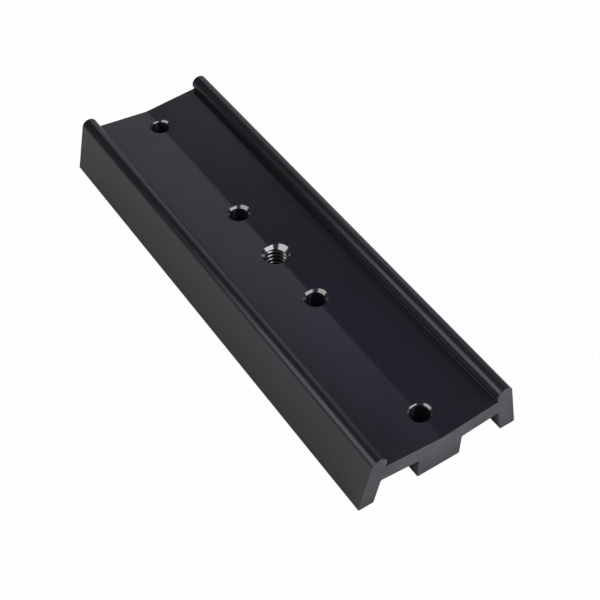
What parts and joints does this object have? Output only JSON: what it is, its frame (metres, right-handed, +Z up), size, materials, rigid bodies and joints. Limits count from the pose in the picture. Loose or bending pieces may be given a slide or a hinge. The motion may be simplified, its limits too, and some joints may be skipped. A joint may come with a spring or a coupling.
{
  "type": "dovetail plate",
  "caption": "Black anodised aluminium dovetail bar with a shallow V saddle between beaded rails, a tapped centre hole and plain holes along its middle.",
  "frame": {"origin": "on the floor under the middle of the bar, which stands on its two feet and its centre rib", "axes": "+X across the bar, +Y along it, +Z up from the feet to the saddle"},
  "size_m": [0.044, 0.133, 0.0152],
  "materials": {
    "black_anodised": "satin black anodised"
  },
  "bodies": {
    "root": {"dovetail_plate": "black_anodised"}
  },
  "joints": []
}
